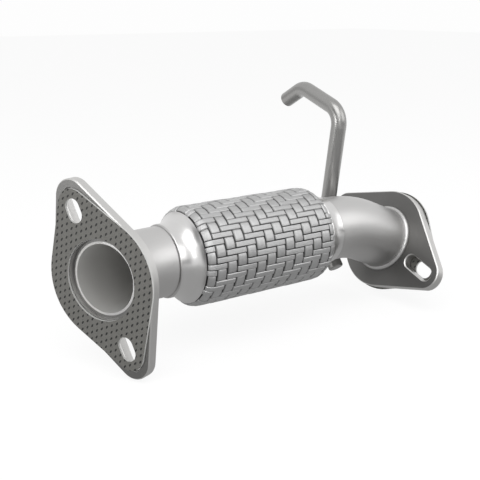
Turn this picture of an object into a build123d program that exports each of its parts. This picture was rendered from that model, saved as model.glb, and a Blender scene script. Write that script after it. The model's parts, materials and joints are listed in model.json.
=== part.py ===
"""Front pipe of an exhaust: bent neck, braided flexible joint, bent outlet pipe and two flanges.

The origin is the centre of the inlet bore at the inlet flange's outer face. +X runs along the
flexible joint from inlet to outlet and +Z is up. All sizes are in millimetres.
"""

import os
from math import asin, cos, degrees, radians, sin, tan

from build123d import *

# Pipe
pipe_radius = 25.4
pipe_wall = 1.6
seat_gap = 0.1

# Inlet neck, which bends in the level plane
inlet_angle = 22.0
inlet_stub = 19.5
inlet_bend_radius = 90.0
inlet_tail = 3.5

# Flexible joint
flex_length = 151.0
braid_radius = 37.0
cap_wall = 1.2
cap_sleeve_length = 2.7
shoulder_length = 20.0
crest_share = 0.35
cap_lip_angle = 40.0
cap_step_angle = 14.0
tube_in_cap = 4.0

# Braid: rings run round it, and bars run along it, each over two rings and then under two
strand_height = 0.9
braid_wall = 1.1
ring_width = 6.4
ring_count = 12
bar_width = 3.5
bar_gap = 1.0
bar_end_slope = 1.2
bar_rows = 52
bar_bite = 0.5
twill_repeat = 4

# Bellows and liner
bellows_clearance = 0.3
bellows_wall = 0.5
bellows_liner_gap = 2.9
bellows_count = 6
liner_wall = 1.6
liner_rib_count = 9
liner_groove_depth = 0.5
liner_groove_width = 2.6

# Outlet pipe, which bends downward
outlet_lead = 10.3
outlet_angle = 22.8
outlet_bend_radius = 90.0
outlet_run = 27.4

# Flanges, alike at both ends but leaning differently
flange_thickness = 8.0
flange_edge = 0.8
flange_half_length = 70.8
flange_waist_radius = 41.8
flange_end_radius = 13.2
socket_radius = 27.5
socket_depth = 3.0
slot_length = 31.0
slot_width = 11.5
slot_from_tip = 21.8
inlet_flange_lean = 24.6
outlet_flange_lean = 71.6

# Gaskets
gasket_thickness = 1.5
gasket_bore = 28.2
gasket_half_length = 64.0
gasket_waist_radius = 42.9
gasket_end_radius = 12.0
gasket_hole_length = 17.0
gasket_hole_width = 12.0

# Weld round the pipe at each flange
flange_weld_leg = 3.0

# Hanger rod, bent in a plane across the pipe; it wraps the pipe's back and leans over its top
rod_radius = 6.35
rod_gap = 0.2
rod_edge = 0.8
rod_from_outlet_lead = 24.3
rod_hug_radius = 60.0
rod_lean_above = 9.0
rod_lean_below = 38.0
rod_rise = 111.7
rod_foot_straight = 2.4
rod_shoulder = (46.6, 16.4)
rod_end = (22.7, -12.3)
rod_bend_radius = 15.0
hanger_weld_length = 15.0
hanger_weld_radius = 3.2

# Directions and stations that follow from the sizes above
up = Vector(0, 0, 1)
inlet_dir = Vector(cos(radians(inlet_angle)), sin(radians(inlet_angle)), 0)
inlet_side = up.cross(inlet_dir)
outlet_dir = Vector(cos(radians(outlet_angle)), 0, -sin(radians(outlet_angle)))
outlet_side = Vector(0, 1, 0)
outlet_rise = outlet_dir.cross(outlet_side)

inlet_tangent = inlet_bend_radius * tan(radians(inlet_angle / 2))
outlet_tangent = outlet_bend_radius * tan(radians(outlet_angle / 2))
inlet_vertex = inlet_dir * (inlet_stub + inlet_tangent)
flex_start = inlet_vertex + Vector(inlet_tangent + inlet_tail, 0, 0)
flex_end = flex_start + Vector(flex_length, 0, 0)
outlet_vertex = flex_end + Vector(outlet_lead + outlet_tangent, 0, 0)
outlet_near_face = outlet_vertex + outlet_dir * (outlet_tangent + outlet_run)
outlet_far_face = outlet_near_face + outlet_dir * flange_thickness

inlet_long = inlet_side * sin(radians(inlet_flange_lean)) + up * cos(radians(inlet_flange_lean))
outlet_long = (
    outlet_side * sin(radians(outlet_flange_lean))
    + outlet_rise * cos(radians(outlet_flange_lean))
)
inlet_face_plane = Plane(origin=(0, 0, 0), x_dir=inlet_long, z_dir=inlet_dir)
outlet_face_plane = Plane(origin=outlet_far_face, x_dir=outlet_long, z_dir=-outlet_dir)

flex_plane = Plane(origin=flex_start, x_dir=(1, 0, 0), z_dir=(0, -1, 0))
flex_axis = Axis(flex_start, (1, 0, 0))
pipe_seat = pipe_radius + seat_gap
bolt_radius = flange_half_length - slot_from_tip

# Shoulder at each end of the joint: a hollow arc, then a crest arc that meets it and the braid
sleeve_radius = pipe_seat + cap_wall
shoulder_rise = braid_radius - sleeve_radius
arc_sum = (shoulder_length**2 + shoulder_rise**2) / (2 * shoulder_rise)
crest_radius = arc_sum * crest_share
hollow_radius = arc_sum - crest_radius
shoulder_angle = degrees(asin(shoulder_length / arc_sum))
crest_x = cap_sleeve_length + shoulder_length
crest_y = braid_radius - crest_radius

# Layers of the joint, as depths under its surface
ring_depth = strand_height
core_depth = 2 * strand_height
lip_depth = core_depth + braid_wall + seat_gap


def band(centre: tuple, inner: float, outer: float, start: float, size: float) -> None:
    """Draw the face between two circles over part of a turn, in degrees."""
    with BuildLine() as outline:
        near = CenterArc(centre, inner, start, size)
        far = CenterArc(centre, outer, start, size)
        Line(near @ 0, far @ 0)
        Line(near @ 1, far @ 1)
    make_face(outline.edges())


def crest(top: float, bottom: float, start: float, size: float, far: bool = False) -> None:
    """Draw a layer of the joint's rounded shoulder between two depths, from its crest outward."""
    centre = (flex_length - crest_x if far else crest_x, crest_y)
    first = 90 - start - size if far else 90 + start
    band(centre, crest_radius - bottom, crest_radius - top, first, size)


def oval(waist: float, end: float, half_length: float) -> None:
    """Draw the outline of a two-bolt flange: a waist circle and two end circles, wrapped."""
    Circle(waist)
    with Locations((half_length - end, 0), (end - half_length, 0)):
        Circle(end)
    make_hull()


def flange(face: Plane) -> Part:
    """Return a slotted flange whose outer face lies on the plane, with its pipe socket."""
    with BuildPart() as body:
        with BuildSketch(face):
            oval(flange_waist_radius, flange_end_radius, flange_half_length)
            with Locations((bolt_radius, 0), (-bolt_radius, 0)):
                SlotOverall(slot_length, slot_width, mode=Mode.SUBTRACT)
        extrude(amount=flange_thickness)
        rims = body.faces().filter_by(Axis(face.origin, face.z_dir)).edges()
        chamfer(rims, flange_edge)
        with BuildSketch(face):
            Circle(pipe_seat)
        extrude(amount=flange_thickness, mode=Mode.SUBTRACT)
        with BuildSketch(face):
            Circle(socket_radius)
        extrude(amount=socket_depth, mode=Mode.SUBTRACT)
    return body.part


def gasket(face: Plane) -> Part:
    """Return a flat gasket that lies against the outside of the flange face."""
    with BuildPart() as body:
        with BuildSketch(face):
            oval(gasket_waist_radius, gasket_end_radius, gasket_half_length)
            Circle(gasket_bore, mode=Mode.SUBTRACT)
            with Locations((bolt_radius, 0), (-bolt_radius, 0)):
                SlotOverall(gasket_hole_length, gasket_hole_width, mode=Mode.SUBTRACT)
        extrude(amount=-gasket_thickness)
    return body.part


def ring_weld(seat: Plane, leg: float) -> Part:
    """Return a fillet weld round the pipe, with its flat side on the plane and its rest beyond."""
    section = Plane(origin=seat.origin, x_dir=seat.x_dir, z_dir=seat.y_dir)
    with BuildPart() as body:
        with BuildSketch(section):
            with BuildLine():
                Line((pipe_seat, 0), (pipe_seat + leg, 0))
                RadiusArc((pipe_seat + leg, 0), (pipe_seat, -leg), leg * 1.6)
                Line((pipe_seat, -leg), (pipe_seat, 0))
            make_face()
        revolve(axis=Axis(seat.origin, seat.z_dir))
    return body.part


with BuildPart() as inlet_gasket:
    add(gasket(inlet_face_plane))
inlet_gasket.part.label = "inlet_gasket"

with BuildPart() as inlet_flange:
    add(flange(inlet_face_plane))
inlet_flange.part.label = "inlet_flange"

# The weld's flat side is against the flange's back face
inlet_weld_plane = Plane(origin=inlet_dir * flange_thickness, x_dir=inlet_long, z_dir=inlet_dir)
with BuildPart() as inlet_flange_weld:
    add(ring_weld(inlet_weld_plane, flange_weld_leg))
inlet_flange_weld.part.label = "inlet_flange_weld"

inlet_tube_start = inlet_dir * socket_depth
inlet_tube_end = flex_start + Vector(tube_in_cap, 0, 0)
with BuildPart() as inlet_tube:
    with BuildLine() as inlet_path:
        FilletPolyline(inlet_tube_start, inlet_vertex, inlet_tube_end, radius=inlet_bend_radius)
    with BuildSketch(Plane(origin=inlet_tube_start, x_dir=inlet_side, z_dir=inlet_dir)):
        Circle(pipe_radius)
        Circle(pipe_radius - pipe_wall, mode=Mode.SUBTRACT)
    sweep(path=inlet_path.line)
inlet_tube.part.label = "inlet_tube"

# Spun cap, drawn as radius against distance from the joint's end: a sleeve on the pipe, the
# hollow of the shoulder, and a lip stepped down under the braid
with BuildPart() as flex_inlet_cap:
    with BuildSketch(flex_plane):
        with Locations((cap_sleeve_length / 2, sleeve_radius - cap_wall / 2)):
            Rectangle(cap_sleeve_length, cap_wall)
        hollow_centre = (cap_sleeve_length, sleeve_radius + hollow_radius)
        band(hollow_centre, hollow_radius, hollow_radius + cap_wall, 270, shoulder_angle)
        crest(0, lip_depth + cap_wall, shoulder_angle, cap_step_angle)
        crest(lip_depth, lip_depth + cap_wall, shoulder_angle - cap_lip_angle, cap_lip_angle)
    revolve(axis=flex_axis)
flex_inlet_cap.part.label = "flex_inlet_cap"

flex_middle = Plane(origin=flex_start + Vector(flex_length / 2, 0, 0), x_dir=(0, 1, 0), z_dir=(1, 0, 0))
with BuildPart() as flex_outlet_cap:
    add(mirror(flex_inlet_cap.part, about=flex_middle, mode=Mode.PRIVATE))
flex_outlet_cap.part.label = "flex_outlet_cap"

# Small beads where the pipes enter the caps' sleeves
with BuildPart() as flex_inlet_weld:
    add(ring_weld(Plane(origin=flex_start, x_dir=(0, 0, 1), z_dir=(-1, 0, 0)), cap_wall))
flex_inlet_weld.part.label = "flex_inlet_weld"

with BuildPart() as flex_outlet_weld:
    add(ring_weld(Plane(origin=flex_end, x_dir=(0, 0, 1), z_dir=(1, 0, 0)), cap_wall))
flex_outlet_weld.part.label = "flex_outlet_weld"

# Woven sleeve: a core with a ring on each shoulder and the rest on the straight part
straight_length = flex_length - 2 * crest_x
ring_pitch = straight_length / ring_count
core_radius = braid_radius - core_depth
core_angle = shoulder_angle - degrees(seat_gap / (crest_radius - lip_depth))
ring_angle = degrees(ring_width / crest_radius)
ring_start = (core_angle - ring_angle) / 2
bar_start = degrees(bar_gap / 2 / crest_radius)

with BuildPart() as full_bar:
    full_length = 2 * ring_pitch - bar_gap
    with BuildSketch(Plane(origin=(0, -bar_width / 2, 0), x_dir=(1, 0, 0), z_dir=(0, -1, 0))):
        with BuildLine():
            Polyline(
                (-full_length / 2, braid_radius - ring_depth - bar_bite),
                (full_length / 2, braid_radius - ring_depth - bar_bite),
                (full_length / 2 - bar_end_slope, braid_radius),
                (-full_length / 2 + bar_end_slope, braid_radius),
                close=True,
            )
        make_face()
    extrude(amount=-bar_width)

# Bar on the first shoulder only, and one that comes down from there over the first ring
with BuildPart() as shoulder_bar:
    with BuildSketch(Plane(origin=(0, -bar_width / 2, 0), x_dir=(1, 0, 0), z_dir=(0, -1, 0))):
        crest(0, ring_depth + bar_bite, bar_start, core_angle - bar_start)
    extrude(amount=-bar_width)

with BuildPart() as bent_bar:
    with BuildSketch(Plane(origin=(0, -bar_width / 2, 0), x_dir=(1, 0, 0), z_dir=(0, -1, 0))):
        crest(0, ring_depth + bar_bite, 0, core_angle)
        with Locations((crest_x + (ring_pitch - bar_gap / 2) / 2, braid_radius - (ring_depth + bar_bite) / 2)):
            Rectangle(ring_pitch - bar_gap / 2, ring_depth + bar_bite)
    extrude(amount=-bar_width)

with BuildPart() as flex_braid:
    with BuildSketch(flex_plane):
        with Locations((flex_length / 2, core_radius - braid_wall / 2)):
            Rectangle(straight_length, braid_wall)
        for column in range(ring_count):
            with Locations((crest_x + (column + 0.5) * ring_pitch, core_radius)):
                Rectangle(ring_width, 2 * strand_height)
        for far in (False, True):
            crest(core_depth, core_depth + braid_wall, 0, core_angle, far)
            crest(ring_depth, core_depth + strand_height, ring_start, ring_angle, far)
    revolve(axis=flex_axis)
    bars = []
    for row in range(bar_rows):
        turn = row * 360 / bar_rows
        first = -row % twill_repeat
        for ring in range(first, ring_count - 1, twill_repeat):
            along = Vector(crest_x + (ring + 1) * ring_pitch, 0, 0)
            bars.append(full_bar.part.rotate(Axis.X, turn).moved(Location(flex_start + along)))
        # The end bars are drawn for the first shoulder, and turned about +Z for the far one
        at_start = {2: shoulder_bar, 3: bent_bar}.get(first)
        at_end = {0: shoulder_bar, 3: bent_bar}.get(first)
        if at_start:
            bars.append(at_start.part.rotate(Axis.X, turn).moved(Location(flex_start)))
        if at_end:
            turned = at_end.part.rotate(Axis.Z, 180).rotate(Axis.X, turn)
            bars.append(turned.moved(Location(flex_end)))
    add(bars, clean=False)
flex_braid.part.label = "flex_braid"

# Convoluted tube between the liner and the braid
bellows_outer = core_radius - braid_wall - bellows_clearance
bellows_inner = pipe_radius + bellows_liner_gap + bellows_wall
bellows_pitch = straight_length / bellows_count
bellows_line = []
for fold in range(bellows_count):
    left = crest_x + fold * bellows_pitch
    bellows_line += [
        (left, bellows_inner),
        (left + bellows_pitch * 0.3, bellows_inner),
        (left + bellows_pitch * 0.4, bellows_outer),
        (left + bellows_pitch * 0.9, bellows_outer),
    ]
bellows_line.append((flex_length - crest_x, bellows_inner))
bellows_back = [(x, r - bellows_wall) for x, r in reversed(bellows_line)]
with BuildPart() as flex_bellows:
    with BuildSketch(flex_plane):
        with BuildLine():
            Polyline(*bellows_line, *bellows_back, close=True)
        make_face()
    revolve(axis=flex_axis)
flex_bellows.part.label = "flex_bellows"

# Interlocked hose that lines the joint, with a groove between turns
liner_begin = tube_in_cap + seat_gap
liner_length = flex_length - 2 * liner_begin
liner_outer = pipe_radius
liner_pitch = liner_length / liner_rib_count
with BuildPart() as flex_liner:
    with BuildSketch(flex_plane):
        with Locations((flex_length / 2, liner_outer - liner_wall / 2)):
            Rectangle(liner_length, liner_wall)
        for groove in range(1, liner_rib_count):
            with Locations((liner_begin + groove * liner_pitch, liner_outer - liner_wall)):
                Rectangle(liner_groove_width, 2 * liner_groove_depth, mode=Mode.SUBTRACT)
    revolve(axis=flex_axis)
flex_liner.part.label = "flex_liner"

outlet_tube_start = flex_end - Vector(tube_in_cap, 0, 0)
outlet_tube_end = outlet_far_face - outlet_dir * socket_depth
with BuildPart() as outlet_tube:
    with BuildLine() as outlet_path:
        FilletPolyline(outlet_tube_start, outlet_vertex, outlet_tube_end, radius=outlet_bend_radius)
    with BuildSketch(Plane(origin=outlet_tube_start, x_dir=(0, 1, 0), z_dir=(1, 0, 0))):
        Circle(pipe_radius)
        Circle(pipe_radius - pipe_wall, mode=Mode.SUBTRACT)
    sweep(path=outlet_path.line)
outlet_tube.part.label = "outlet_tube"

outlet_weld_plane = Plane(origin=outlet_near_face, x_dir=outlet_long, z_dir=-outlet_dir)
with BuildPart() as outlet_flange_weld:
    add(ring_weld(outlet_weld_plane, flange_weld_leg))
outlet_flange_weld.part.label = "outlet_flange_weld"

with BuildPart() as outlet_flange:
    add(flange(outlet_face_plane))
outlet_flange.part.label = "outlet_flange"

with BuildPart() as outlet_gasket:
    add(gasket(outlet_face_plane))
outlet_gasket.part.label = "outlet_gasket"

# Hanger rod: it touches the pipe's back part way round the outlet bend
rod_sweep = rod_from_outlet_lead / outlet_bend_radius
rod_touch = flex_end + Vector(
    outlet_lead + outlet_bend_radius * sin(rod_sweep),
    pipe_radius + rod_gap + rod_radius,
    outlet_bend_radius * (cos(rod_sweep) - 1),
)


def on_rod(across: float, rise: float) -> Vector:
    """Return the place of a point given across and up from where the rod touches the pipe."""
    return rod_touch + Vector(0, across, rise)


# The arc at the pipe is upright where it touches, so its corner follows from the two leans
lean_above, lean_below = radians(rod_lean_above), radians(rod_lean_below)
half_turn, half_skew = (lean_below + lean_above) / 2, (lean_below - lean_above) / 2
rod_hug = on_rod(
    rod_hug_radius * (cos(half_skew) / cos(half_turn) - 1),
    -rod_hug_radius * sin(half_skew) / cos(half_turn),
)
rod_reach_below = rod_hug_radius * tan(half_turn) + rod_foot_straight
rod_foot = rod_hug + Vector(0, -sin(lean_below), -cos(lean_below)) * rod_reach_below
rod_corner_near = rod_hug + Vector(0, -sin(lean_above), cos(lean_above)) * rod_rise
rod_corner_far = rod_corner_near + Vector(0, *rod_shoulder)
rod_tip = rod_corner_far + Vector(0, *rod_end)
with BuildPart() as hanger_rod:
    with BuildLine() as rod_path:
        FilletPolyline(
            rod_foot, rod_hug, rod_corner_near, rod_corner_far, rod_tip,
            radius=(rod_hug_radius, rod_bend_radius, rod_bend_radius),
        )
    # The sweep's seam lies half-way between the plane of the bends and the rod's side
    rod_up = (rod_hug - rod_foot).normalized()
    rod_seam = rod_up.cross(Vector(1, 0, 0)) - Vector(1, 0, 0)
    with BuildSketch(Plane(origin=rod_foot, x_dir=rod_seam, z_dir=rod_up)):
        Circle(rod_radius)
    sweep(path=rod_path.line)
    chamfer(hanger_rod.faces().filter_by(GeomType.PLANE).edges(), rod_edge)
hanger_rod.part.label = "hanger_rod"

# Two beads in the crooks between rod and pipe
weld_across = rod_radius * 1.05
weld_depth = pipe_radius + hanger_weld_radius * 0.55
with BuildPart() as hanger_welds:
    for side in (-1, 1):
        with BuildSketch(
            Plane(
                origin=(
                    rod_touch.X + side * weld_across,
                    flex_end.Y + weld_depth,
                    rod_touch.Z - hanger_weld_length / 2,
                ),
                z_dir=(0, 0, 1),
            )
        ):
            Circle(hanger_weld_radius)
        extrude(amount=hanger_weld_length)
    with BuildLine() as weld_cut_path:
        FilletPolyline(outlet_tube_start, outlet_vertex, outlet_tube_end, radius=outlet_bend_radius)
    with BuildSketch(Plane(origin=outlet_tube_start, x_dir=(0, 1, 0), z_dir=(1, 0, 0))):
        Circle(pipe_radius)
    sweep(path=weld_cut_path.line, mode=Mode.SUBTRACT)
    add(hanger_rod.part, mode=Mode.SUBTRACT)
hanger_welds.part.label = "hanger_welds"

pieces = (
    inlet_gasket, inlet_flange, inlet_flange_weld, inlet_tube, flex_inlet_weld, flex_inlet_cap,
    flex_braid, flex_bellows, flex_liner, flex_outlet_cap, flex_outlet_weld, outlet_tube,
    outlet_flange_weld, outlet_flange, outlet_gasket, hanger_rod, hanger_welds,
)
os.makedirs("parts", exist_ok=True)
for piece in pieces:
    export_step(piece.part, f"parts/{piece.part.label}.step")
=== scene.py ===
"""Look of the exhaust front pipe: materials, woven sleeve, weld ripples, light and camera."""
import json
import logging
from dataclasses import dataclass
from enum import Enum
from math import cos, pi, radians, sin

import bpy
import numpy as np
from mathutils import Matrix, Vector


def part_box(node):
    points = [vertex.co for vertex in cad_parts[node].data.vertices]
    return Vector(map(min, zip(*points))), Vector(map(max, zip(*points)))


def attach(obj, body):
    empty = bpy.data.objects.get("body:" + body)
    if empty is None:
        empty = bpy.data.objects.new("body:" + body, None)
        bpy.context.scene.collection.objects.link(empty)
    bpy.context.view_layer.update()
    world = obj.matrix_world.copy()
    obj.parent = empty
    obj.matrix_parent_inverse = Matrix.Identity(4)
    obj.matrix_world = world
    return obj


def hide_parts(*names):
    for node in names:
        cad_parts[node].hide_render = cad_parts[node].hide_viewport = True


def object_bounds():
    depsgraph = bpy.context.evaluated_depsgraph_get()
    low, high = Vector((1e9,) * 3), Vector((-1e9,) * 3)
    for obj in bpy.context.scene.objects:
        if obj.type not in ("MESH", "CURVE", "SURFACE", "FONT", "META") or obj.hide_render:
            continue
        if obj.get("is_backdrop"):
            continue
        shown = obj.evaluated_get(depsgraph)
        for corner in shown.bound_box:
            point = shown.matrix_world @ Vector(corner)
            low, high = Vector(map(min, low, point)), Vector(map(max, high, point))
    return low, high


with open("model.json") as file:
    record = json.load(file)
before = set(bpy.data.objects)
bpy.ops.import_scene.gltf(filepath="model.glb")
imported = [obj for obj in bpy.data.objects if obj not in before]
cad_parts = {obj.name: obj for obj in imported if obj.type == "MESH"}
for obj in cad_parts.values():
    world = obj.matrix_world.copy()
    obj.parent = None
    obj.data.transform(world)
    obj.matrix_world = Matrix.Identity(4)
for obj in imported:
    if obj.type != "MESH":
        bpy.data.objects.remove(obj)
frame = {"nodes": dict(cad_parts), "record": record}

LOG = logging.getLogger("front_pipe")
MM = 0.001
FLANGE_THICKNESS = 8 * MM
# How far the floor lies under the part
FLOOR_GAP = 2 * MM
# A plate's surface is its edge where its normal agrees less than this with that of its faces
EDGE_COSINE = 0.9
# Keeps a place that lies on a border on the border's far side
HAIR = 1e-9
SENSOR_WIDTH = 36.0

Colour = tuple[float, float, float]
Point = tuple[float, float, float]
Socket = bpy.types.NodeSocket
Value = Socket | float
Shade = Socket | Colour


def mount(name: str) -> tuple[Vector, Vector]:
    """Return a mount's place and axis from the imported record.

    Args:
        name: the mount's name.

    Returns:
        Its position in metres and its unit axis.
    """
    for entry in frame["record"]["mounts"]:
        if entry["name"] == name:
            return Vector(entry["pos_m"]), Vector(entry["axis"]).normalized()
    raise KeyError(name)


def opaque(colour: Colour) -> tuple[float, float, float, float]:
    """Return a colour with full alpha."""
    return (*colour, 1.0)


def link(name: str, data: bpy.types.ID) -> bpy.types.Object:
    """Put a mesh, light or camera into the scene.

    Args:
        name: the object's name.
        data: the mesh, light or camera.

    Returns:
        The new object, at the origin.
    """
    made = bpy.data.objects.new(name, data)
    bpy.context.scene.collection.objects.link(made)
    return made


class Finish(Enum):
    """The finishes of the part's metal, by the record's material slots."""

    PIPE = "pipe_steel"
    CAP = "cap_steel"
    BRAID = "braid_steel"
    INNER = "inner_steel"
    FLANGE = "flange_steel"
    WELD = "weld_steel"
    ROD = "rod_steel"


class Graph:
    """A short way to write the nodes of a material or of the world."""

    def __init__(self, owner: bpy.types.Material | bpy.types.World) -> None:
        """Start from an empty tree.

        Args:
            owner: the material or world whose nodes are made.
        """
        owner.use_nodes = True
        self.tree = owner.node_tree
        self.tree.nodes.clear()
        kind = "World" if isinstance(owner, bpy.types.World) else "Material"
        self.output = f"ShaderNodeOutput{kind}"

    def node(self, kind: str, inputs: dict | None = None, **settings: str) -> bpy.types.Node:
        """Add a node.

        Args:
            kind: the node's Blender type.
            inputs: values or output sockets, by input name or number.
            settings: attributes set on the node.

        Returns:
            The new node.
        """
        made = self.tree.nodes.new(kind)
        for key, value in settings.items():
            setattr(made, key, value)
        for key, value in (inputs or {}).items():
            if isinstance(value, Socket):
                self.tree.links.new(value, made.inputs[key])
            else:
                made.inputs[key].default_value = value
        return made

    def math(self, operation: str, *values: Value) -> Socket:
        """Return the result of one arithmetic step on numbers or sockets."""
        return self.node("ShaderNodeMath", dict(enumerate(values)), operation=operation).outputs[0]

    def dot(self, first: Socket, second: Socket | Vector) -> Socket:
        """Return the dot product of two vectors."""
        made = self.node("ShaderNodeVectorMath", {0: first, 1: second}, operation="DOT_PRODUCT")
        return made.outputs["Value"]

    def blend(self, factor: Value, first: Shade, second: Shade) -> Socket:
        """Mix two colours.

        Args:
            factor: the second colour's share.
            first: the first colour, as a socket or fixed.
            second: the second colour.

        Returns:
            The mixed colour.
        """
        ends = [shade if isinstance(shade, Socket) else opaque(shade) for shade in (first, second)]
        # The node's sockets 6 and 7 are its two colours, and its output 2 is their mix
        sockets = {0: factor, 6: ends[0], 7: ends[1]}
        return self.node("ShaderNodeMix", sockets, data_type="RGBA").outputs[2]

    def noise(self, vector: Socket, scale: float, detail: float) -> Socket:
        """Return a noise value, from 0 to 1."""
        made = self.node("ShaderNodeTexNoise", {"Vector": vector, "Scale": scale, "Detail": detail})
        return made.outputs[0]

    def place(self) -> Socket:
        """Return the point's place on the object."""
        return self.node("ShaderNodeTexCoord").outputs["Object"]

    def normal(self) -> Socket:
        """Return the face's own normal."""
        return self.node("ShaderNodeNewGeometry").outputs["True Normal"]

    def edge(self, face: Vector) -> Socket:
        """Return 1 on the edges of a plate and 0 on its faces, whose normal is given."""
        facing = self.math("ABSOLUTE", self.dot(self.normal(), face))
        return self.math("LESS_THAN", facing, EDGE_COSINE)

    def bump(self, height: Value, distance: float) -> Socket:
        """Return a normal raised by a height."""
        return self.node("ShaderNodeBump", {"Height": height, "Distance": distance}).outputs[0]

    def own(self, name: str) -> Socket:
        """Return a number that the mesh carries at each point."""
        return self.node("ShaderNodeAttribute", attribute_name=name).outputs["Fac"]

    def end(self, shader: bpy.types.Node) -> None:
        """Lead a shader to the tree's output."""
        self.node(self.output, {0: shader.outputs[0]})

    def surface(self, colour: Socket, roughness: Value, normal: Socket, metallic: Value) -> None:
        """End the tree with a principled surface."""
        self.end(self.node("ShaderNodeBsdfPrincipled", {
            "Base Color": colour, "Roughness": roughness, "Normal": normal, "Metallic": metallic}))

    def split(self, lighting: bpy.types.Node, shown: bpy.types.Node) -> None:
        """End the tree with one shader for plain light and one for what is seen.

        Seen is what the camera sees, itself or in metal or glass.

        Args:
            lighting: the shader for plain light.
            shown: the shader that is seen.
        """
        ray = self.node("ShaderNodeLightPath").outputs
        mirrored = self.math("MAXIMUM", ray["Is Glossy Ray"], ray["Is Transmission Ray"])
        seen = self.math("MAXIMUM", ray["Is Camera Ray"], mirrored)
        self.end(self.node("ShaderNodeMixShader", {
            0: seen, 1: lighting.outputs[0], 2: shown.outputs[0]}))


@dataclass(frozen=True)
class Bore:
    """The inner side of the pipes, with its dull scale.

    The pipes' middle line is three straight runs: it climbs in Y along the neck, stays level, and
    falls along the outlet.

    Attributes:
        neck_slope: how far the neck climbs in Y, for each length of X.
        level: Y of the middle run.
        corner: X where the outlet starts to fall.
        outlet_slope: how far the outlet falls, for each length of X.
        scale: colour of the scale, linear.
        metallic: how metallic the scale is.
    """

    neck_slope: float = 0.404
    level: float = 13.86 * MM
    corner: float = 234.5 * MM
    outlet_slope: float = 0.420
    scale: Colour = (0.50, 0.495, 0.48)
    metallic: float = 0.2

    def inside(self, graph: Graph) -> Socket:
        """Return 1 on the inner side of the pipes and 0 elsewhere.

        The inner side is where the normal points back to the middle line, so that its dot product
        with the way out from that line is below 0.

        Args:
            graph: the material's nodes.

        Returns:
            The share.
        """
        x, y, z = graph.node("ShaderNodeSeparateXYZ", {0: graph.place()}).outputs
        middle = graph.math("MINIMUM", graph.math("MULTIPLY", x, self.neck_slope), self.level)
        beyond = graph.math("MAXIMUM", graph.math("SUBTRACT", x, self.corner), 0.0)
        fall = graph.math("MULTIPLY", beyond, -self.outlet_slope)
        way_out = graph.node("ShaderNodeCombineXYZ", {
            1: graph.math("SUBTRACT", y, middle), 2: graph.math("SUBTRACT", z, fall)}).outputs[0]
        return graph.math("LESS_THAN", graph.dot(graph.normal(), way_out), 0.0)


@dataclass(frozen=True)
class Metal:
    """How one bare metal looks.

    Attributes:
        light: colour of its brighter patches, linear.
        dark: colour of its duller patches, linear.
        roughness: middle of its roughness.
        spread: how far the roughness wanders each way.
        grain: size of the fine mottling, in noise cells per metre.
        stretch: how the mottling is scaled along X, Y and Z.
        relief: height of the fine relief, in metres.
        broad_grain: cells of the broad mottling for each cell of the fine.
        broad_share: the broad mottling's share in the colour.
        details: how detailed the broad and the fine mottling are.
        cut: colour of a plate's cut edges, linear.
    """

    light: Colour
    dark: Colour
    roughness: float
    spread: float
    grain: float
    stretch: tuple[float, float, float]
    relief: float
    broad_grain: float = 0.18
    broad_share: float = 0.6
    details: tuple[float, float] = (3.0, 6.0)
    cut: Colour = (0.58, 0.575, 0.565)

    def make(self, name: str, face: Vector | None, bore: Bore | None) -> bpy.types.Material:
        """Make the metal.

        Args:
            name: the material's name.
            face: for a plate, the normal of its faces.
            bore: for a pipe, its inner side.

        Returns:
            The material.
        """
        material = bpy.data.materials.new(name)
        graph = Graph(material)
        place = graph.node("ShaderNodeMapping", {
            "Vector": graph.place(), "Scale": self.stretch}).outputs[0]
        broad = graph.noise(place, self.grain * self.broad_grain, self.details[0])
        fine = graph.noise(place, self.grain, self.details[1])
        mottled = graph.math("ADD", graph.math("MULTIPLY", broad, self.broad_share),
                             graph.math("MULTIPLY", fine, 1 - self.broad_share))
        colour = graph.blend(mottled, self.dark, self.light)
        metallic = 1.0
        if face is not None:
            colour = graph.blend(graph.edge(face), colour, self.cut)
        if bore is not None:
            inside = bore.inside(graph)
            colour = graph.blend(inside, colour, bore.scale)
            metallic = graph.math("MULTIPLY_ADD", inside, bore.metallic - 1, 1.0)
        roughness = graph.math("ADD", self.roughness - self.spread,
                               graph.math("MULTIPLY", fine, 2 * self.spread))
        graph.surface(colour, roughness, graph.bump(fine, self.relief), metallic)
        return material


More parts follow.
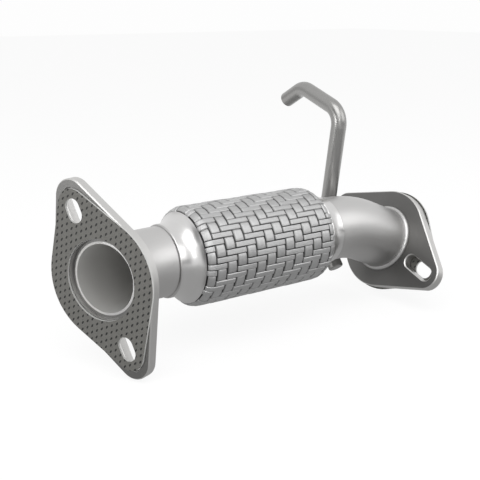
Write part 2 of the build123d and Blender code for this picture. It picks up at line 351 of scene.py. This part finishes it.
@dataclass(frozen=True)
class Wire:
    """How the sleeve's wire looks: fine lines of painted shade between the wires, and painted shade
    in the seams.

    Attributes:
        light: colour of its brighter patches, linear.
        dark: colour of its duller patches, linear.
        line: painted shade in the groove between two wires, linear.
        line_share: how far that painted shade comes through.
        seam: painted shade at the seams' floor, linear.
        shade_gain: how fast the painted seam shade comes in with the depth.
        shade_start: its share at the strands' tops, below 0 to keep them clear.
        roughness: the least roughness.
        spread: how far the roughness wanders above it.
        grain: size of the mottling, in noise cells per metre.
        detail: how detailed the mottling is.
        relief: height of a wire, in metres.
    """

    light: Colour = (0.57, 0.57, 0.57)
    dark: Colour = (0.46, 0.46, 0.46)
    line: Colour = (0.34, 0.34, 0.34)
    line_share: float = 0.35
    seam: Colour = (0.075, 0.075, 0.075)
    shade_gain: float = 1.5
    shade_start: float = -0.4
    roughness: float = 0.42
    spread: float = 0.05
    grain: float = 900
    detail: float = 4.0
    relief: float = 5e-5

    def make(self) -> bpy.types.Material:
        """Make the wire.

        The mesh carries the place across the strand, counted in wires, and the depth from 0 at the
        strands' tops to 1 at the seams' floor, where the depth darkens the colour as painted shade.
        The groove between two wires goes with the sine of the place and is darkened as painted
        shade.

        Returns:
            The material.
        """
        material = bpy.data.materials.new("braid_wire")
        graph = Graph(material)
        fine = graph.noise(graph.place(), self.grain, self.detail)
        wave = graph.math("SINE", graph.math("MULTIPLY", graph.own("wire"), 2 * pi))
        groove = graph.math("MULTIPLY_ADD", wave, 0.5, 0.5)
        steel = graph.blend(fine, self.dark, self.light)
        # Painted shade: the groove between two wires darkens the colour
        groove_shaded = graph.blend(graph.math("MULTIPLY", groove, self.line_share), steel, self.line)
        # Painted shade: the colour darkens towards the seams' floor with the depth
        seam_shade_share = graph.math("MULTIPLY_ADD", graph.own("depth"), self.shade_gain, self.shade_start)
        colour = graph.blend(seam_shade_share, groove_shaded, self.seam)
        roughness = graph.math("ADD", self.roughness, graph.math("MULTIPLY", fine, self.spread))
        raised = graph.bump(graph.math("SUBTRACT", 1.0, groove), self.relief)
        graph.surface(colour, roughness, raised, 1.0)
        return material


@dataclass(frozen=True)
class Sheet:
    """How a gasket looks: a faced sheet with rows of slanted punch marks and a bright rim.

    Attributes:
        light: colour of its paler specks, linear.
        dark: colour of its darker specks, linear.
        mark: colour in the punch marks, linear.
        rim: colour of the metal rim, linear.
        row_pitch: distance from row to row.
        mark_pitch: distance from mark to mark in a row.
        mark_half: half of a mark's size, from row to row and along a row.
        row_shift: how far every other row is shifted, in marks.
        slant: how far a mark leans, in marks for each row.
        speckle: size of the specks, in noise cells per metre.
        speckle_detail: how detailed the specks are.
        speckle_height: height of the specks, for each depth of a mark.
        relief: depth of a mark, in metres.
        roughness: its roughness.
        metallic: how metallic it is.
    """

    light: Colour = (0.170, 0.167, 0.155)
    dark: Colour = (0.075, 0.073, 0.067)
    mark: Colour = (0.012, 0.012, 0.012)
    rim: Colour = (0.56, 0.56, 0.55)
    row_pitch: float = 4.1 * MM
    mark_pitch: float = 4.8 * MM
    mark_half: tuple[float, float] = (0.85 * MM, 1.0 * MM)
    row_shift: float = 0.5
    slant: float = 0.7
    speckle: float = 1500
    speckle_detail: float = 4.0
    speckle_height: float = 0.3
    relief: float = 8e-5
    roughness: float = 0.62
    metallic: float = 0.15

    def marks(self, graph: Graph, place: Socket, along: Vector, across: Vector) -> Socket:
        """Return 1 in the punch marks and 0 between them.

        A mark is an ellipse: the sum of the squares of the two ways from its middle, each in halves
        of its size, is below 1 there. The way along the row is less the slant times the other.

        Args:
            graph: the material's nodes.
            place: the point's place on the object.
            along: the gasket's long axis.
            across: the axis across it.

        Returns:
            The share.
        """
        row = graph.math("DIVIDE", graph.dot(place, along), self.row_pitch)
        odd = graph.math("FLOORED_MODULO", graph.math("FLOOR", row), 2.0)
        mark = graph.math("ADD", graph.math("DIVIDE", graph.dot(place, across), self.mark_pitch),
                          graph.math("MULTIPLY", odd, self.row_shift))
        up, over = (graph.math("SUBTRACT", graph.math("FRACT", cell), 0.5) for cell in (row, mark))
        slanted = graph.math("SUBTRACT", over, graph.math("MULTIPLY", up, self.slant))
        halves = ((up, self.row_pitch / self.mark_half[0]),
                  (slanted, self.mark_pitch / self.mark_half[1]))
        squares = [graph.math("POWER", graph.math("MULTIPLY", way, size), 2.0)
                   for way, size in halves]
        return graph.math("LESS_THAN", graph.math("ADD", *squares), 1.0)

    def make(self, name: str, along: Vector, across: Vector, face: Vector) -> bpy.types.Material:
        """Make the sheet.

        Args:
            name: the material's name.
            along: the gasket's long axis.
            across: the axis across it.
            face: the normal of its faces.

        Returns:
            The material.
        """
        material = bpy.data.materials.new(name)
        graph = Graph(material)
        place = graph.place()
        punched = self.marks(graph, place, along, across)
        specks = graph.noise(place, self.speckle, self.speckle_detail)
        marked = graph.blend(punched, graph.blend(specks, self.dark, self.light), self.mark)
        colour = graph.blend(graph.edge(face), marked, self.rim)
        height = graph.math("SUBTRACT", graph.math("MULTIPLY", specks, self.speckle_height),
                            punched)
        graph.surface(colour, self.roughness, graph.bump(height, self.relief), self.metallic)
        return material


class Finishes:
    """The part's metals, each made once."""

    looks: dict[Finish, Metal] = {
        Finish.PIPE: Metal(
            light=(0.57, 0.565, 0.56), dark=(0.51, 0.505, 0.50), roughness=0.44, spread=0.04,
            grain=240, stretch=(0.25, 1, 1), relief=6e-6),
        Finish.CAP: Metal(
            light=(0.68, 0.675, 0.67), dark=(0.62, 0.615, 0.61), roughness=0.29, spread=0.02,
            grain=320, stretch=(6, 0.4, 0.4), relief=4e-6),
        Finish.INNER: Metal(
            light=(0.34, 0.34, 0.33), dark=(0.22, 0.22, 0.21), roughness=0.38, spread=0.08,
            grain=300, stretch=(1, 1, 1), relief=1e-5),
        Finish.FLANGE: Metal(
            light=(0.205, 0.203, 0.198), dark=(0.165, 0.163, 0.159), roughness=0.42, spread=0.06,
            grain=420, stretch=(1, 1, 1), relief=2e-5),
        Finish.WELD: Metal(
            light=(0.58, 0.575, 0.57), dark=(0.46, 0.456, 0.45), roughness=0.34, spread=0.06,
            grain=500, stretch=(1, 1, 1), relief=1e-5),
        Finish.ROD: Metal(
            light=(0.36, 0.357, 0.35), dark=(0.29, 0.287, 0.28), roughness=0.32, spread=0.05,
            grain=380, stretch=(1, 1, 0.2), relief=8e-6),
    }

    def __init__(self) -> None:
        """Start with none made."""
        self.made: dict[str, bpy.types.Material] = {}

    def metal(self, finish: Finish, face: Vector | None = None) -> bpy.types.Material:
        """Return a bare metal.

        Args:
            finish: which finish.
            face: for a flange, the normal of its faces; its cut edges are lighter.

        Returns:
            The material.
        """
        name = finish.value if face is None else f"{finish.value}_{face.x:.2f}"
        if name not in self.made:
            bore = Bore() if finish in (Finish.PIPE, Finish.INNER) else None
            self.made[name] = self.looks[finish].make(name, face, bore)
        return self.made[name]


def grid_mesh(name: str, rings: np.ndarray) -> bpy.types.Object:
    """Make a mesh from rings of points, of which the last joins the first.

    Each face goes from a point to the next one on its ring, and on to the same two on the next
    ring.

    Args:
        name: the piece's name.
        rings: points as (ring, point round it, xyz), in metres.

    Returns:
        The new object, at the origin.
    """
    count, around = rings.shape[:2]
    total = count * around
    first = np.arange(total)
    beside = first // around * around + (first + 1) % around
    quads = np.stack([first, beside, (beside + around) % total, (first + around) % total], -1)
    mesh = bpy.data.meshes.new(name)
    mesh.vertices.add(total)
    mesh.vertices.foreach_set("co", rings.reshape(-1).astype(np.float32))
    mesh.loops.add(quads.size)
    mesh.loops.foreach_set("vertex_index", quads.reshape(-1).astype(np.int32))
    mesh.polygons.add(len(quads))
    mesh.polygons.foreach_set("loop_start", np.arange(0, quads.size, 4, dtype=np.int32))
    mesh.update(calc_edges=True)
    mesh.validate()
    mesh.shade_smooth()
    return link(name, mesh)


@dataclass(frozen=True)
class Weave:
    """The flexible joint's woven sleeve: bars over two rings and under two, a ring on in each row.

    A place along it is counted in rings. Ring -1 lies on the inlet shoulder, the next ones on the
    straight part, and the last on the outlet shoulder. A place round it is counted in rows from
    the top, turning towards the side that faces the camera.

    Attributes:
        rows: bars round the sleeve.
        rings: rings on its straight part.
        crest: how far the straight part starts inside the joint's end.
        pitch: length of the straight part for each ring.
        radius: outside of the bars.
        crest_radius: radius of the rounded shoulder.
        shoulder: how far the shoulder is turned, in degrees.
        bar_half: half of a bar's width.
        ring_half: half of a ring's width.
        end_gap: bare length at each end of a bar.
        bow: how much deeper the edges of a bar or ring lie than its middle.
        dive: how much deeper the ends of a bar lie.
        dive_start: the part of a bar's half length that lies before the dive.
        ring_sunk: how deep the middle of a ring lies where it is on top.
        ring_fall: how far a ring falls in a row from midway between the bars.
        seam: depth of the seams' floor.
        wall: depth of the inner side.
        wire: width of one wire.
        steps_round: grid places round one row, from its middle, in rows.
        steps_along: grid places along one ring, in rings.
        last_step: how far the last grid place lies short of the sleeve's end, in rings.
    """

    rows: int = 52
    rings: int = 12
    crest: float = 22.7 * MM
    pitch: float = 8.8 * MM
    radius: float = 36.95 * MM
    crest_radius: float = 8.6 * MM
    shoulder: float = 53.4
    bar_half: float = 1.74 * MM
    ring_half: float = 3.25 * MM
    end_gap: float = 0.4 * MM
    bow: float = 0.10 * MM
    dive: float = 0.40 * MM
    dive_start: float = 0.86
    ring_sunk: float = 0.14 * MM
    ring_fall: float = 0.55 * MM
    seam: float = 1.75 * MM
    wall: float = 2.85 * MM
    wire: float = 0.42 * MM
    steps_round: tuple[float, ...] = (-0.5, -0.41, -0.385, -0.34, 0.0, 0.34, 0.385, 0.41)
    steps_along: tuple[float, ...] = (
        0.0, 0.04, 0.06, 0.095, 0.115, 0.135, 0.17, 0.5, 0.83, 0.865, 0.885, 0.905, 0.94, 0.96)
    last_step: float = 1e-6

    def depth(self, place: np.ndarray, row: np.ndarray) -> tuple[np.ndarray, np.ndarray]:
        """Return how deep the surface lies under the bars' tops, and the count of wires.

        Four steps make the pattern, counted as ring plus row. At steps 0 and 1 a bar is on top: its
        depth is a slight bow, with the square of the place across, plus a dive at both ends, with
        the square of the way into it. At steps 2 and 3 the ring is on top: its depth is its own
        bow, plus a fall with the fourth power of the way from midway between the bars. Outside both
        lies the seam's floor.

        Args:
            place: places along the sleeve, in rings.
            row: places round it, in rows.

        Returns:
            The depth in metres and the place across the strand in wires.
        """
        ring, bar = np.floor(place + HAIR), np.floor(row + 0.5 + HAIR)
        part, off = place - ring, row - bar
        step = (ring + bar) % 4
        row_width = 2 * pi * self.radius / self.rows
        across = np.abs(off) * row_width / self.bar_half
        reach = np.abs(step + part - 1) * self.pitch / (self.pitch - self.end_gap)
        dived = np.clip((reach - self.dive_start) / (1 - self.dive_start), 0, 1)
        bar_depth = self.bow * across**2 + self.dive * dived**2
        ring_across = np.abs(part - 0.5) * self.pitch / self.ring_half
        midway = np.abs(step - 3 + off + 0.5)
        ring_depth = self.ring_sunk + self.bow * ring_across**2 + self.ring_fall * midway**4
        bar_on_top = step < 2
        on_bar = bar_on_top & (across <= 1) & (reach <= 1)
        on_ring = ~bar_on_top & (ring_across <= 1)
        depth = np.where(on_bar, bar_depth, np.where(on_ring, ring_depth, self.seam))
        wires = np.where(bar_on_top, off * row_width, (part - 0.5) * self.pitch) / self.wire
        return depth, wires

    def point(self, place: np.ndarray, depth: np.ndarray, start: float, end: float) -> tuple:
        """Return X and radius of places on the sleeve.

        On the straight part the radius is the sleeve's less the depth. On a shoulder the point lies
        on a circle round the crest's centre, whose radius is the crest's less the depth.

        Args:
            place: places along the sleeve, in rings.
            depth: how deep each point lies.
            start: X of the joint's inlet end.
            end: X of its outlet end.

        Returns:
            X and the radius, in metres.
        """
        before, after = np.clip(-place, 0, 1), np.clip(place - self.rings, 0, 1)
        turn = np.radians(self.shoulder) * (before + after)
        arm = self.crest_radius - depth
        first = start + self.crest
        straight = (end - start - 2 * self.crest) * np.clip(place / self.rings, 0, 1)
        x = first + straight + arm * np.sin(turn) * np.sign(after - before)
        return x, self.radius - self.crest_radius + arm * np.cos(turn)

    def build(self, start: float, end: float, centre: tuple[float, float]) -> bpy.types.Object:
        """Make the sleeve as one closed shell, woven outside and plain inside.

        A point's Y and Z are the axis's, less the radius times the sine of its turn and plus the
        radius times the cosine.

        Args:
            start: X of the joint's inlet end.
            end: X of its outlet end.
            centre: Y and Z of the axis.

        Returns:
            The sleeve.
        """
        row = (np.arange(self.rows)[:, None] + np.array(self.steps_round)[None]).reshape(1, -1)
        ring = np.arange(-1, self.rings + 1)[:, None] + np.array(self.steps_along)[None]
        outside = np.append(ring.ravel(), self.rings + 1.0 - self.last_step)[:, None]
        inside = self.rings + np.array([1.0, 0.5, 0.0])
        inside = np.append(inside, [0.0, -0.5, -1.0])[:, None]
        depth, wires = self.depth(outside, row)
        place = np.concatenate([outside, inside])
        plain = np.ones((len(inside), row.size))
        depth = np.concatenate([depth, plain * self.wall])
        wires = np.concatenate([wires, np.zeros_like(plain)])
        x, radius = self.point(place, depth, start, end)
        turn = 2 * pi * row / self.rows
        shell = np.stack([x, centre[0] - radius * np.sin(turn), centre[1] + radius * np.cos(turn)],
                         -1)
        sleeve = grid_mesh("braid_weave", shell)
        # The depth leads the wire's painted shade in the seams, and the wire count leads its
        # grooves' painted shade and relief
        for name, values in (("depth", depth / self.seam), ("wire", wires)):
            carried = sleeve.data.attributes.new(name, "FLOAT", "POINT")
            carried.data.foreach_set("value", values.reshape(-1).astype(np.float32))
        return sleeve


@dataclass(frozen=True)
class WeldBead:
    """A weld bead that runs round a pipe, with faint ripples.

    Attributes:
        radius: the pipe's radius.
        width: the bead's width.
        height: how far it stands off the pipe.
        ripples: how many there are round it.
        swell: how much each ripple grows and shrinks the bead.
        lean: how far a ripple leans from the flange to the pipe, as a turn of its sine.
        ripple_steps: grid places along one ripple.
        section_steps: grid places across the bead.
    """

    radius: float = 25.4 * MM
    width: float = 2.9 * MM
    height: float = 2.9 * MM
    ripples: int = 46
    swell: float = 0.008
    lean: float = 2.2
    ripple_steps: int = 8
    section_steps: int = 10

    def build(self, name: str, centre: Vector, axis: Vector) -> bpy.types.Object:
        """Make the bead, which lies against a flange on the side that the axis points to.

        Its section is a quarter circle from the flange to the pipe, closed by the corner between
        them. The bead's size swells with the sine of the turn times the count of ripples.

        Args:
            name: the piece's name.
            centre: centre of its flat side.
            axis: direction away from the flange.

        Returns:
            The bead.
        """
        side = axis.cross(Vector((0, 0, 1))).normalized()
        rise = axis.cross(side)
        turn = np.linspace(0, 2 * pi, self.ripples * self.ripple_steps, endpoint=False)[None]
        section = np.linspace(0, pi / 2, self.section_steps)[:, None]
        size = 1 + self.swell * np.sin(turn * self.ripples + self.lean * np.cos(section))
        out = self.radius + self.height * np.cos(section) * size
        away = self.width * np.sin(section) * size
        out = np.concatenate([out, np.full((1, turn.size), self.radius)])
        away = np.concatenate([away, np.zeros((1, turn.size))])
        local = np.stack([out * np.cos(turn), out * np.sin(turn), away], -1)
        basis = np.array([side, rise, axis])
        return grid_mesh(name, local @ basis + np.array(centre))


@dataclass(frozen=True)
class Camera:
    """The photograph's view.

    Attributes:
        place: where the camera stands.
        azimuth: degrees round the object.
        elevation: degrees above level.
        focal: focal length in picture widths.
        near: how near the camera starts to see.
    """

    place: Point = (-0.2670, -0.5095, 0.1773)
    azimuth: float = -36.8
    elevation: float = 14.8
    focal: float = 1.8738
    near: float = 10 * MM

    def build(self) -> None:
        """Make the camera and put the scene on it."""
        turn, lift = radians(self.azimuth), radians(self.elevation)
        back = Vector((sin(turn) * cos(lift), -cos(turn) * cos(lift), sin(lift)))
        right = Vector((0, 0, 1)).cross(back).normalized()
        axes = Matrix((right, back.cross(right), back)).transposed()
        data = bpy.data.cameras.new("camera")
        data.sensor_width = SENSOR_WIDTH
        data.lens = SENSOR_WIDTH * self.focal
        data.clip_start = self.near
        camera = link("camera", data)
        camera.matrix_world = Matrix.Translation(self.place) @ axes.to_4x4()
        bpy.context.scene.camera = camera


@dataclass(frozen=True)
class Board:
    """A flat board in the studio, with one face.

    Attributes:
        name: the board's name.
        middle: where its middle is.
        across: half of its width, as a vector.
        up: half of its height, as a vector.
    """

    name: str
    middle: Point
    across: Point
    up: Point

    def lay(self, material: bpy.types.Material) -> bpy.types.Object:
        """Make the face, whose corners are the middle less or plus each half.

        Args:
            material: the board's material.

        Returns:
            The board.
        """
        middle, across, up = Vector(self.middle), Vector(self.across), Vector(self.up)
        low, high = middle - up, middle + up
        mesh = bpy.data.meshes.new(self.name)
        mesh.from_pydata([low - across, low + across, high + across, high - across], [],
                         [(0, 1, 2, 3)])
        mesh.materials.append(material)
        return link(self.name, mesh)


@dataclass(frozen=True)
class ReflectionCard(Board):
    """A board beside the part that paints a grey reflection in its polished metal.

    Attributes:
        tone: how light its painted reflection is.
    """

    tone: float

    def build(self) -> None:
        """Make the card, hidden from all but the reflections that it paints."""
        material = bpy.data.materials.new(self.name)
        graph = Graph(material)
        graph.end(graph.node("ShaderNodeEmission", {"Color": opaque((self.tone,) * 3)}))
        board = self.lay(material)
        board.visible_camera = False
        board.visible_diffuse = False
        board.visible_transmission = False
        board.visible_shadow = False
        board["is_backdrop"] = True


@dataclass(frozen=True)
class Softbox:
    """A square light that looks at the middle of the part.

    Attributes:
        name: the light's name.
        place: where it hangs.
        size: length of its side.
        power: its power, in watts.
        aim: what it looks at.
    """

    name: str
    place: Point
    size: float
    power: float
    aim: Point = (0.14, 0.0, 0.0)

    def build(self) -> None:
        """Make the light."""
        data = bpy.data.lights.new(self.name, "AREA")
        data.size, data.energy = self.size, self.power
        light = link(self.name, data)
        light.location = self.place
        way = Vector(self.aim) - Vector(self.place)
        light.rotation_euler = way.to_track_quat("-Z", "Y").to_euler()


@dataclass(frozen=True)
class Studio:
    """Soft light, a white ground, and grey cards that paint reflections in the metal.

    Attributes:
        white: colour of the room where it is seen, linear.
        level: strength of the room's plain light from the sides.
        rise: how much stronger it is from straight above.
        ground: colour of the floor where it is seen, linear.
        shadow: what the lamps add to that colour where no shadow falls, linear.
        matt: colour of the floor in plain light, linear.
        reach: half of the floor's side.
        lights: the soft lights.
        cards: the grey cards, which paint reflections in the metal.
    """

    white: Colour = (0.985, 0.985, 0.985)
    level: float = 0.62
    rise: float = 0.2
    ground: Colour = (0.86, 0.86, 0.86)
    shadow: Colour = (0.16, 0.16, 0.16)
    matt: Colour = (0.8, 0.8, 0.8)
    reach: float = 6.0
    lights: tuple[Softbox, ...] = (
        Softbox("key", (-0.35, -0.70, 1.30), 1.3, 11.0),
        Softbox("fill", (0.9, -0.9, 0.6), 0.9, 3.0),
        Softbox("strip", (-0.30, -0.90, 0.36), 0.20, 0.7),
        Softbox("bore", (-0.80, -0.02, 0.10), 0.35, 2.0),
    )
    cards: tuple[ReflectionCard, ...] = (
        # Each card paints a reflection in the metal: the one below darkens its underside, those in
        # front, high and left paint dark patches, and the one behind paints a lighter one
        ReflectionCard("card_below", (0.16, -0.10, -0.0655), (0.34, 0, 0), (0, 0.28, 0), 0.44),
        ReflectionCard("card_front", (0.45, -0.75, 0.06), (0.42, 0.26, 0), (0, 0, 0.09), 0.16),
        ReflectionCard("card_high", (-0.58, -0.12, 0.53), (-0.05, 0.26, 0), (0.11, 0, 0.12), 0.15),
        ReflectionCard("card_left", (-0.50, -0.24, 0.09), (-0.06, 0.12, 0), (0, 0, 0.16), 0.14),
        ReflectionCard("card_back", (-0.32, 0.80, 0.24), (0.30, 0.23, 0), (0, 0, 0.25), 0.72),
    )

    def build(self, floor_height: float) -> None:
        """Make the world, the lights, the cards and the floor.

        Args:
            floor_height: Z of the floor.
        """
        self.room()
        for thing in (*self.lights, *self.cards):
            thing.build()
        self.floor(floor_height)

    def room(self) -> None:
        """Make a white room, whose plain light is brighter from above than from the sides."""
        world = bpy.data.worlds.new("studio")
        bpy.context.scene.world = world
        graph = Graph(world)
        way = graph.node("ShaderNodeTexCoord").outputs["Generated"]
        lift = graph.node("ShaderNodeSeparateXYZ", {0: way}).outputs[2]
        strength = graph.math("MULTIPLY_ADD", lift, self.rise, self.level)
        graph.split(graph.node("ShaderNodeBackground", {"Strength": strength}),
                    graph.node("ShaderNodeBackground", {"Color": opaque(self.white)}))

    def floor(self, height: float) -> None:
        """Add a floor that shows white, with the part's shadow on it.

        Args:
            height: Z of the floor.
        """
        material = bpy.data.materials.new("floor_white")
        graph = Graph(material)
        glow = graph.node("ShaderNodeEmission", {"Color": opaque(self.ground)})
        lit = graph.node("ShaderNodeBsdfDiffuse", {"Color": opaque(self.shadow)})
        graph.split(graph.node("ShaderNodeBsdfDiffuse", {"Color": opaque(self.matt)}),
                    graph.node("ShaderNodeAddShader", {0: glow.outputs[0], 1: lit.outputs[0]}))
        floor = Board("floor", (0, 0, height), (self.reach, 0, 0), (0, self.reach, 0)).lay(material)
        floor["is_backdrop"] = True


class FrontPipe:
    """The part: finishes on the CAD's pieces, and the pieces that carry finer form."""

    finish_of: dict[str, Finish] = {
        "inlet_tube": Finish.PIPE, "outlet_tube": Finish.PIPE, "flex_inlet_cap": Finish.CAP,
        "flex_outlet_cap": Finish.CAP, "flex_bellows": Finish.INNER, "flex_liner": Finish.INNER,
        "flex_inlet_weld": Finish.WELD, "flex_outlet_weld": Finish.WELD,
        "hanger_welds": Finish.WELD, "hanger_rod": Finish.ROD,
    }

    def __init__(self) -> None:
        """Start with no finish made."""
        self.finishes = Finishes()

    def paint(self, node: str, material: bpy.types.Material) -> None:
        """Give a CAD piece its material.

        Args:
            node: the CAD piece.
            material: what it gets.
        """
        piece = frame["nodes"][node]
        piece.data.materials.clear()
        piece.data.materials.append(material)
        LOG.info("%s is painted with %s", node, material.name)

    def dress(self, piece: bpy.types.Object, finish: Finish, node: str) -> None:
        """Let a new piece stand for a CAD piece.

        Args:
            piece: the new piece.
            finish: its finish.
            node: the CAD piece that it stands for.
        """
        woven = finish is Finish.BRAID
        piece.data.materials.append(Wire().make() if woven else self.finishes.metal(finish))
        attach(piece, "root")
        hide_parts(node)
        LOG.info("%s stands for %s", piece.name, node)

    def end(self, side: str) -> None:
        """Dress one end of the pipe: its flange, its gasket and its weld bead.

        The gasket's axes come from the place where its face is touched, less what lies along the
        bore.

        Args:
            side: inlet or outlet.
        """
        centre, out = mount(f"{side}_bore")
        touched, _ = mount(f"{side}_face")
        across = touched - centre
        across = (across - out * across.dot(out)).normalized()
        along = out.cross(across).normalized()
        self.paint(f"{side}_flange", self.finishes.metal(Finish.FLANGE, out))
        self.paint(f"{side}_gasket", Sheet().make(f"gasket_{side}", along, across, out))
        bead = WeldBead().build(f"{side}_weld_bead", centre - out * FLANGE_THICKNESS, -out)
        self.dress(bead, Finish.WELD, f"{side}_flange_weld")

    def build(self) -> None:
        """Make everything."""
        for node, finish in self.finish_of.items():
            self.paint(node, self.finishes.metal(finish))
        for side in ("inlet", "outlet"):
            self.end(side)
        low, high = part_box("flex_braid")
        start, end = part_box("flex_inlet_cap")[0][0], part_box("flex_outlet_cap")[1][0]
        centre = ((low[1] + high[1]) / 2, (low[2] + high[2]) / 2)
        self.dress(Weave().build(start, end, centre), Finish.BRAID, "flex_braid")


def main() -> None:
    """Build the part, the studio and the camera."""
    logging.basicConfig(level=logging.INFO)
    before = [list(map(float, corner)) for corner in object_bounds()]
    FrontPipe().build()
    bpy.context.scene.view_settings.view_transform = "Standard"
    Studio().build(before[0][2] - FLOOR_GAP)
    Camera().build()


if __name__ == "__main__":
    main()
